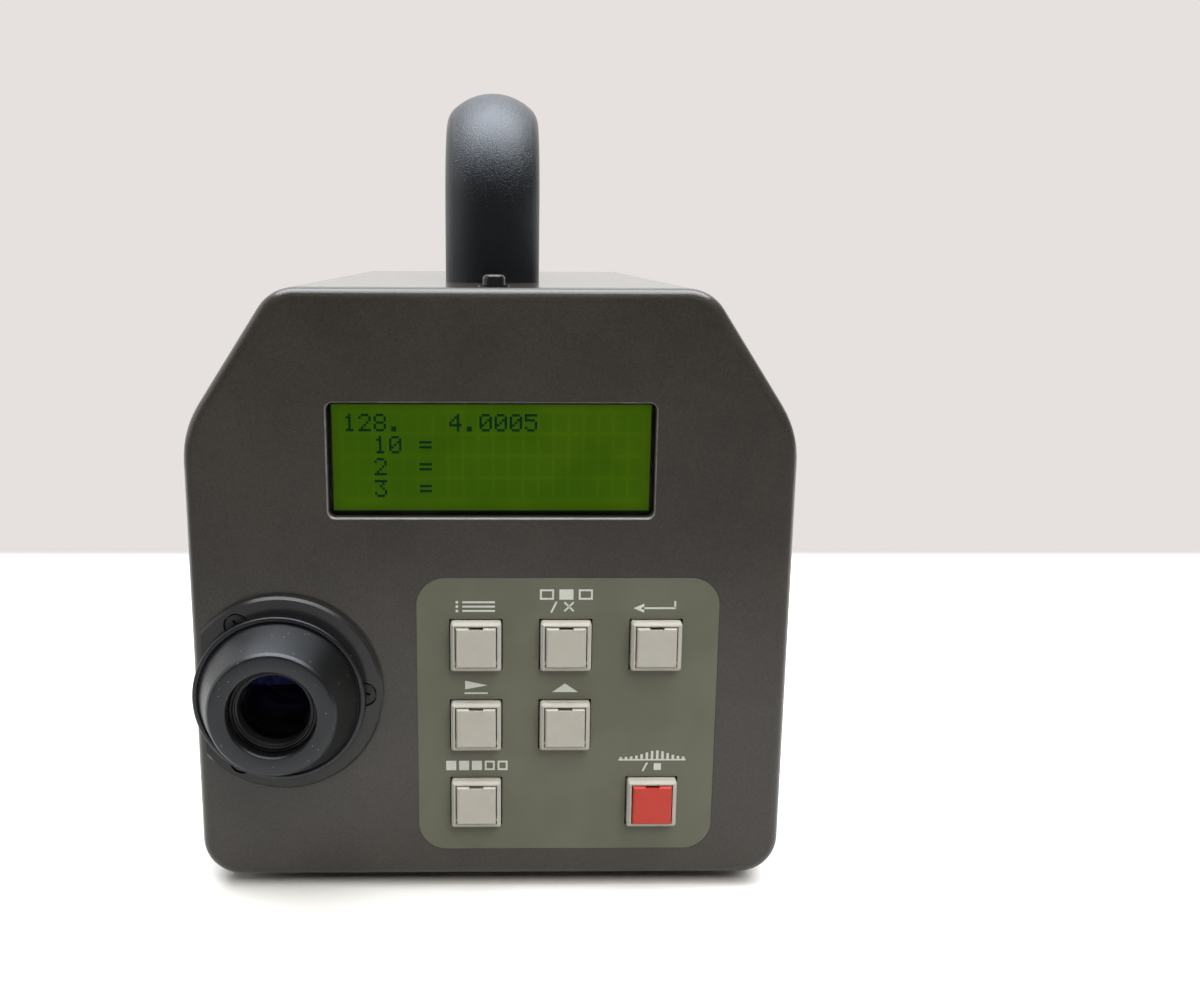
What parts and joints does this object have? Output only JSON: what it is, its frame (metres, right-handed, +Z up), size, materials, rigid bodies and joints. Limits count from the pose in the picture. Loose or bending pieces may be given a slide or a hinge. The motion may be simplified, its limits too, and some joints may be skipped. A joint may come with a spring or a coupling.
{
  "type": "spectroradiometer",
  "caption": "Portable light-measuring instrument: an eyepiece, display and keypad on one face, an objective lens on the other, a carrying handle on top.",
  "frame": {"origin": "on the surface that the feet stand on, under the middle of the bounding box", "axes": "+X to the operator's right, +Y from the operator's panel towards the objective, +Z up"},
  "size_m": [0.146, 0.271, 0.2017],
  "materials": {
    "case_paint": "fine-grained satin paint",
    "cover_paint": "fine-grained satin paint",
    "handle_black": "finely grained, matte",
    "black_anodise": "black anodised, satin",
    "lens_rubber": "ribbed, matte",
    "eyecup_rubber": "moulded, satin",
    "foot_rubber": "moulded, matte",
    "window_plastic": "clear, gloss",
    "display_black": "black, satin",
    "display_cells": "green, lit from behind",
    "circuit_board": "satin green resist",
    "overlay_film": "fine matte film",
    "key_pale": "pale warm grey, satin",
    "key_red": "red, satin",
    "lens_glass": "coated, polished",
    "mirror_glass": "front-silvered",
    "steel_screws": "blackened or plain, satin",
    "bare_aluminium": "machined",
    "brass_metal": "turned",
    "connector_black": "moulded, semi-gloss",
    "nickel_shell": "nickel plate"
  },
  "bodies": {
    "housing": {"operator_panel": "case_paint", "lens_panel": "case_paint", "top_cover": "cover_paint", "base_chassis": "cover_paint", "feet": "foot_rubber", "case_screws": "steel_screws", "tripod_block": "bare_aluminium", "handle": "handle_black", "handle_plate": "bare_aluminium", "handle_screws": "steel_screws", "top_stud": "black_anodise", "display_window": "window_plastic", "display_bezel": "display_black", "display_glass": "display_cells", "display_board": "circuit_board", "keypad_overlay": "overlay_film", "key_housings": "key_pale", "keypad_board": "circuit_board", "eyepiece_flange": "black_anodise", "eyepiece_screws": "steel_screws", "lens_mount": "black_anodise", "lens_barrel": "black_anodise", "rear_lens": "lens_glass", "connector_panel": "case_paint", "power_switch": "connector_black", "power_inlet": "connector_black", "data_connector": "nickel_shell", "connector_studs": "nickel_shell", "optical_bench": "bare_aluminium", "finder_mirrors": "mirror_glass", "finder_tube": "black_anodise", "shutter_motor": "bare_aluminium", "light_guide": "connector_black", "spectrometer_housing": "black_anodise", "spectrometer_lid": "black_anodise", "inner_lenses": "lens_glass", "grating": "mirror_glass", "detector_board": "circuit_board", "main_board": "circuit_board", "power_board": "circuit_board", "board_spacers": "brass_metal"},
    "focus_ring": {"focus_ring": "black_anodise", "focus_grip": "lens_rubber"},
    "front_cell": {"front_cell": "black_anodise", "front_lens": "lens_glass", "front_retainer": "black_anodise"},
    "diopter_ring": {"diopter_ring": "black_anodise", "eyecup": "eyecup_rubber"},
    "eye_lens_cell": {"eye_lens_cell": "black_anodise", "eye_lens": "lens_glass", "eye_lens_retainer": "black_anodise"},
    "power_rocker": {"power_rocker": "connector_black"},
    "shutter_blade": {"shutter_blade": "black_anodise"},
    "menu_key": {"menu_key": "key_pale"},
    "select_key": {"select_key": "key_pale"},
    "enter_key": {"enter_key": "key_pale"},
    "right_key": {"right_key": "key_pale"},
    "up_key": {"up_key": "key_pale"},
    "memory_key": {"memory_key": "key_pale"},
    "measure_key": {"measure_key": "key_red"}
  },
  "joints": [
    {"name": "menu_press", "type": "hinge", "parent": "housing", "child": "menu_key", "pos_m": [-0.0038, -0.1212, 0.06132], "axis": [-1, 0, 0], "range_deg": [0, 6], "stiffness_Nm_per_rad": 0.07, "springref_deg": -2.86},
    {"name": "select_press", "type": "hinge", "parent": "housing", "child": "select_key", "pos_m": [0.01805, -0.1212, 0.06132], "axis": [-1, 0, 0], "range_deg": [0, 6], "stiffness_Nm_per_rad": 0.07, "springref_deg": -2.86},
    {"name": "enter_press", "type": "hinge", "parent": "housing", "child": "enter_key", "pos_m": [0.04005, -0.1212, 0.06132], "axis": [-1, 0, 0], "range_deg": [0, 6], "stiffness_Nm_per_rad": 0.07, "springref_deg": -2.86},
    {"name": "right_press", "type": "hinge", "parent": "housing", "child": "right_key", "pos_m": [-0.0038, -0.1212, 0.04062], "axis": [-1, 0, 0], "range_deg": [0, 6], "stiffness_Nm_per_rad": 0.07, "springref_deg": -2.86},
    {"name": "up_press", "type": "hinge", "parent": "housing", "child": "up_key", "pos_m": [0.01805, -0.1212, 0.04062], "axis": [-1, 0, 0], "range_deg": [0, 6], "stiffness_Nm_per_rad": 0.07, "springref_deg": -2.86},
    {"name": "memory_press", "type": "hinge", "parent": "housing", "child": "memory_key", "pos_m": [-0.0038, -0.1212, 0.02007], "axis": [-1, 0, 0], "range_deg": [0, 6], "stiffness_Nm_per_rad": 0.07, "springref_deg": -2.86},
    {"name": "measure_press", "type": "hinge", "parent": "housing", "child": "measure_key", "pos_m": [0.04005, -0.1212, 0.02007], "axis": [-1, 0, 0], "range_deg": [0, 6], "stiffness_Nm_per_rad": 0.07, "springref_deg": -2.86},
    {"name": "diopter_turn", "type": "hinge", "parent": "housing", "child": "diopter_ring", "pos_m": [-0.0512, -0.1255, 0.05352], "axis": [0, 1, 0], "range_deg": [-75, 75]},
    {"name": "eye_lens_slide", "type": "slide", "parent": "housing", "child": "eye_lens_cell", "axis": [0, 1, 0], "range_m": [-0.0015, 0.0015]},
    {"name": "focus_turn", "type": "hinge", "parent": "housing", "child": "focus_ring", "pos_m": [-0.036, 0.1005, 0.05352], "axis": [0, 1, 0], "range_deg": [0, 240]},
    {"name": "front_cell_slide", "type": "slide", "parent": "housing", "child": "front_cell", "axis": [0, 1, 0], "range_m": [0, 0.008]},
    {"name": "power_switch_rock", "type": "hinge", "parent": "housing", "child": "power_rocker", "pos_m": [0.0636, -0.0255, 0.0455], "axis": [0, 1, 0], "range_deg": [0, 20]},
    {"name": "shutter_swing", "type": "hinge", "parent": "housing", "child": "shutter_blade", "pos_m": [-0.036, -0.007, 0.03652], "axis": [0, 1, 0], "range_deg": [0, 35], "stiffness_Nm_per_rad": 0.002, "springref_deg": -5.73}
  ],
  "couplings": [
    {"joint": "eye_lens_slide", "follows": "diopter_turn", "m_per_rad": 0.00114},
    {"joint": "front_cell_slide", "follows": "focus_turn", "m_per_rad": 0.0019}
  ]
}
